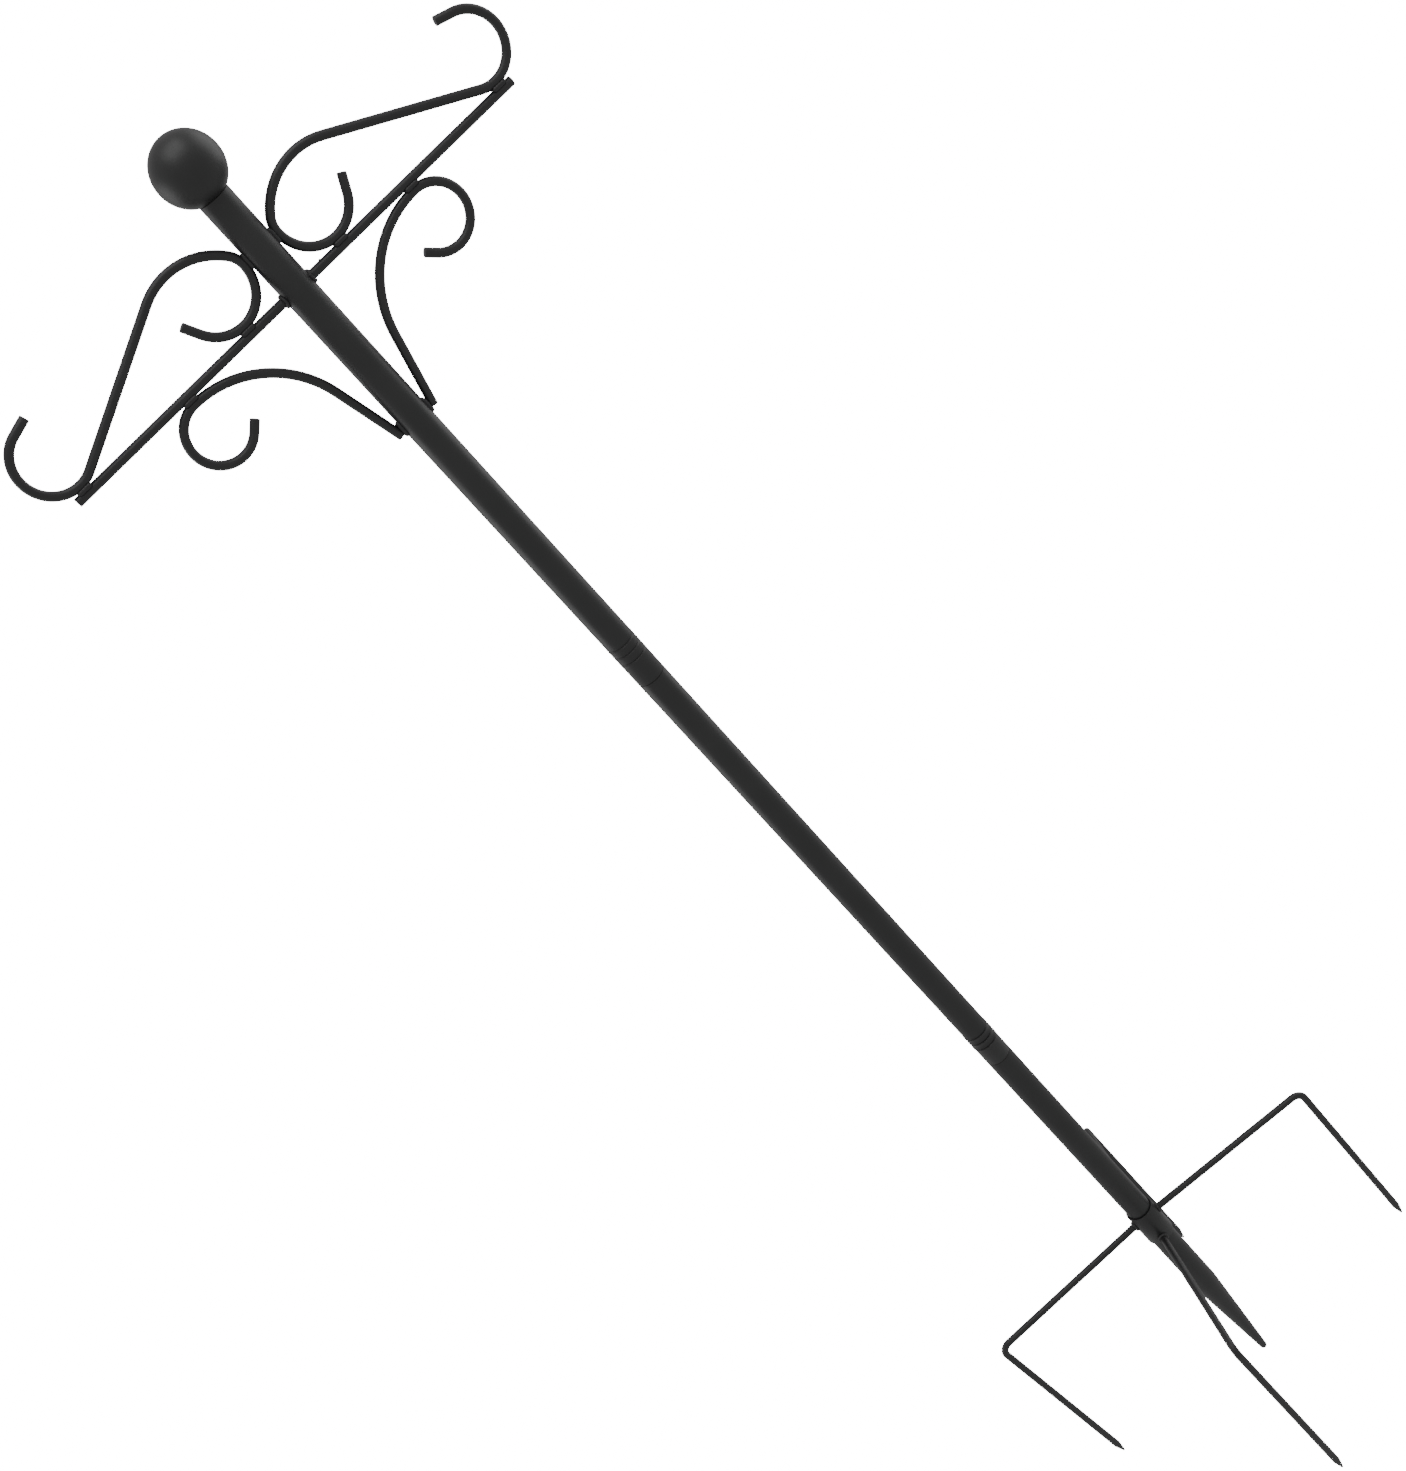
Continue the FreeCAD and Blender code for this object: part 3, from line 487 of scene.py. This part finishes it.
scroll = {
    "loopRadius": 0.0253, "loopTurn": 153.0, "loopTip": 0.012,
    "shoulderRadius": 0.0148, "shoulderTurn": 39.4,
    "crownRadius": 0.0462, "crownTurn": 76.2,
    "hookRadius": 0.0233, "hookTurn": 190.5, "hookTip": 0.0126,
}
brace = {
    "reach": 0.0944,
    "curlRadius": 0.0212, "curlTurn": 223.0, "curlTip": 0.0085,
    "sweepRadius": 0.0705, "sweepTurn": 76.4,
}


def hookScroll():
    level = barUp + 2 * rodRadius + scroll["loopRadius"]
    start = Vector((touch, 0, level))
    loop = [("bend", scroll["loopRadius"], scroll["loopTurn"]), ("run", scroll["loopTip"])]
    rise = [("bend", scroll["shoulderRadius"], -scroll["shoulderTurn"])]
    rise += [("bend", scroll["crownRadius"], -scroll["crownTurn"])]
    high, angle = walk(start, 90, rise)
    foot = barUp + 2 * rodRadius + scroll["hookRadius"] * (1 - cos(radians(angle)))
    rise += [("run", (high.z - foot) / sin(radians(-angle)))]
    rise += [("bend", scroll["hookRadius"], scroll["hookTurn"]), ("run", scroll["hookTip"])]
    tip, angle = walk(start, -90, loop)
    return bentRod("hookScrollRight", tip, angle + 180, backwards(loop) + rise)


def braceScroll():
    start = Vector((brace["reach"], 0, barUp - 2 * rodRadius))
    curl = [("bend", brace["curlRadius"], -brace["curlTurn"]), ("run", brace["curlTip"])]
    turn = radians(brace["sweepTurn"])
    run = (brace["reach"] - brace["sweepRadius"] * sin(turn) - touch) / cos(turn)
    sweep = [("bend", brace["sweepRadius"], brace["sweepTurn"]), ("run", run)]
    tip, angle = walk(start, 0, curl)
    return bentRod("braceScrollRight", tip, angle + 180, backwards(curl) + sweep)


def crossbar():
    start = Vector((tubeRadius - sink, 0, barUp))
    return bentRod("crossbarRight", start, 0, [("run", barHigh.x - tubeRadius + sink)])


armRods = ((crossbar(), "crossbar"), (hookScroll(), "hook_scroll"), (braceScroll(), "brace_scroll"))
for rodPiece, cadName in armRods:
    leftPiece = mirrored(rodPiece, rodPiece.name.replace("Right", "Left"))
    finishPiece(rodPiece, "upper_section", "powder_coat", coat, cadName + "_right")
    finishPiece(leftPiece, "upper_section", "powder_coat", coat, cadName + "_left")
print("arms bent")


# welds of the arms

weld = {
    "size": 0.0018,
    "side": 0.0021,              # how far in front of the joint a bead lies, and how far behind
    "length": 0.0037,            # half a bead's length
    "count": 11,
    "rootSize": 0.0015,
    "rootCount": 20,
    "barOverhang": 0.00886,      # crossbar's end beyond the foot of the outer hook
    "spatterSize": 0.0011,
}


def sideBeads(name, spot, way):
    # one bead in front of the joint and one behind it, along the way given, and the same on the left
    beads = []
    for side in (-1, 1):
        steps = [(-1 + 2 * number / (weld["count"] - 1)) for number in range(weld["count"])]
        spots = [spot + way * (step * weld["length"]) + yWay * (side * weld["side"]) for step in steps]
        beads.append(weldBead(name + "Bead", spots, weld["size"]))
    right = cleanUp(joined(name, beads), 80)
    return joined(name, [right, mirrored(right, name + "Twin")])


def rootRing(name, wallRadius, up, angle):
    # a fillet that follows the saddle where a rod meets a tube, in the rod's own direction
    ahead, beside = Vector((cos(angle), sin(angle), 0)), Vector((-sin(angle), cos(angle), 0))
    spots = []
    for number in range(weld["rootCount"]):
        swing = 2 * pi * number / weld["rootCount"]
        reach = rodRadius + 0.0003
        out = sqrt(wallRadius ** 2 - (reach * cos(swing)) ** 2) + 0.0004
        spots.append(ahead * out + beside * (reach * cos(swing)) + zWay * (up + reach * sin(swing)))
    return weldBead(name, spots, weld["rootSize"])


spatterSpot = Vector((touch + 0.0075, -0.0012, barUp + rodRadius * 0.93))
spatter = weldBead("spatter", [spatterSpot], weld["spatterSize"])
rightRoot = rootRing("crossbarRoot", tubeRadius, barUp, 0)
leftRoot = mirrored(rightRoot, "crossbarRootLeft")
crossbarWelds = joined("crossbarWelds", [rightRoot, leftRoot, spatter])
finishPiece(crossbarWelds, "upper_section", "powder_coat", beadCoat, "crossbar_welds")

loopUp = barUp + 2 * rodRadius + scroll["loopRadius"]
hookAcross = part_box("crossbar_right")[1].x - weld["barOverhang"]
braceFoot = (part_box("brace_tube_welds")[0].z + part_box("brace_tube_welds")[1].z) / 2
for name, spot, way, cadName in (
    ("loopTubeWelds", Vector((tubeRadius, 0, loopUp)), zWay, "loop_tube_welds"),
    ("loopBarWelds", Vector((touch + scroll["loopRadius"], 0, barUp + rodRadius)), xWay, "loop_bar_welds"),
    ("hookBarWelds", Vector((hookAcross, 0, barUp + rodRadius)), xWay, "hook_bar_welds"),
    ("braceBarWelds", Vector((brace["reach"], 0, barUp - rodRadius)), xWay, "brace_bar_welds"),
    ("braceTubeWelds", Vector((tubeRadius, 0, braceFoot)), zWay, "brace_tube_welds"),
):
    finishPiece(sideBeads(name, spot, way), "upper_section", "powder_coat", beadCoat, cadName)
print("arms welded")


# the prong base

base = {
    "turn": -12.0, "leftSkew": 5.2, "frontSkew": -2.7,
    "sideReach": 0.1705, "crossReach": 0.160,
    "bend": 0.009, "leg": 0.197, "point": 0.012, "pointScale": 0.29,
    "bore": 0.0113, "lip": 0.0004,
    "rightBend": 88.7, "backBend": 88.5, "leftBend": 93.5, "frontBend": 90.0,
}


def collarRing():
    low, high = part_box("prong_collar")
    outer, bore, lip = high.x, base["bore"], base["lip"]
    outline = [(bore + lip, low.z)] + roundedRim(outer, low.z, lip, 1)
    outline += roundedRim(outer, high.z, lip, -1)[::-1]
    outline += [(bore + lip, high.z), (bore, high.z - lip), (bore, low.z + lip), (bore + lip, low.z)]
    return turned("collarRing", outline)


def bentProng(name, up, reach, bend, angle):
    plane = (Vector((cos(angle), sin(angle), 0)), zWay)
    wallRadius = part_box("prong_collar")[1].x
    start = plane[0] * (wallRadius - sink) + zWay * up
    run = reach - base["bend"] - wallRadius + sink
    leg = base["leg"] - base["bend"] - base["point"]
    steps = [("run", run), ("bend", base["bend"], -bend), ("run", leg)]
    steps += [("point", base["point"], base["pointScale"])]
    return bentRod(name, start, 0, steps, plane, round=0.0002)


finishPiece(collarRing(), "prong_base", "powder_coat", coat, "prong_collar")
roots = []
leftTurn = base["turn"] + 180 + base["leftSkew"]
frontTurn = base["turn"] + 270 + base["frontSkew"]
for name, cadName, reach, bend, turn in (
    ("prongRight", "prong_right", base["sideReach"], base["rightBend"], base["turn"]),
    ("prongBack", "prong_back", base["crossReach"], base["backBend"], base["turn"] + 90),
    ("prongLeft", "prong_left", base["sideReach"], base["leftBend"], leftTurn),
    ("prongFront", "prong_front", base["crossReach"], base["frontBend"], frontTurn),
):
    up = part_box(cadName)[1].z - rodRadius
    finishPiece(bentProng(name, up, reach, bend, radians(turn)), "prong_base", "powder_coat", coat, cadName)
    roots.append(rootRing(name + "Root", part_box("prong_collar")[1].x, up, radians(turn)))
finishPiece(joined("prongWelds", roots), "prong_base", "powder_coat", beadCoat, "prong_welds")
print("prong base bent and welded")


# CAD nodes that stay

for cadName, material in (("upper_spigot", steel), ("lower_spigot", steel), ("finial_plug", plugPlastic)):
    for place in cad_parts[cadName].material_slots:
        place.material = material
print("inner pieces finished")


# floor, light and camera

studio = {
    "floorSize": 120,
    "floorDrop": 0.0005,         # floor's depth below the stake's tip
    "floorGlow": 16.0,
    "sky": 0.58,
}
lamps = {
    "keyLight": {"spot": (2.2, 0.5, 1.1), "target": (0, 0, 0.4), "power": 19, "size": (2.0, 2.6)},
    "fillLight": {"spot": (-2.2, 0.9, 0.5), "target": (0, 0, 0.2), "power": 14, "size": (1.8, 1.8)},
    "topLight": {"spot": (0.1, -0.5, 3.0), "target": (0, 0, 0.5), "power": 18, "size": (2.0, 1.6)},
}


def studioFloor():
    deselectAll()
    floorUp = cadBox[0].z - studio["floorDrop"]
    bpy.ops.mesh.primitive_plane_add(size=studio["floorSize"], location=(0, 0, floorUp))
    floor = bpy.context.object
    floor.name = "studioFloor"
    bpy.ops.object.transform_apply(location=True, rotation=True, scale=True)
    floor.data.materials.append(paleFloor())
    floor.visible_diffuse = False        # the floor shows pale but throws no light up at the object
    floor.visible_glossy = False


def softLight(name, spot, target, power, size):
    deselectAll()
    turn = (Vector(target) - Vector(spot)).to_track_quat("-Z", "Y").to_euler()
    bpy.ops.object.light_add(type="AREA", location=spot, rotation=turn)
    lamp = bpy.context.object
    lamp.name = name
    lamp.data.energy = power
    lamp.data.shape = "RECTANGLE"
    lamp.data.size, lamp.data.size_y = size


def studioSky():
    world = bpy.data.worlds.new("studioSky")
    world.use_nodes = True
    world.node_tree.nodes["Background"].inputs["Color"].default_value = (1, 1, 1, 1)
    world.node_tree.nodes["Background"].inputs["Strength"].default_value = studio["sky"]
    bpy.context.scene.world = world


studioFloor()
studioSky()
for name, lamp in lamps.items():
    softLight(name, lamp["spot"], lamp["target"], lamp["power"], lamp["size"])

view = {
    "place": (-0.1721, -1.3455, 1.3633),
    "turn": (49.38, 35.111, -32.874),
    "lens": 52.52,
    "shift": (-0.0733, 0.0992),
}
deselectAll()
bpy.ops.object.camera_add(location=view["place"], rotation=[radians(angle) for angle in view["turn"]])
camera = bpy.context.object
camera.name = "studioCamera"
camera.data.sensor_width = 36
camera.data.lens = view["lens"]
camera.data.shift_x, camera.data.shift_y = view["shift"]
camera.data.clip_start = 0.05
bpy.context.scene.camera = camera
print("studio set")
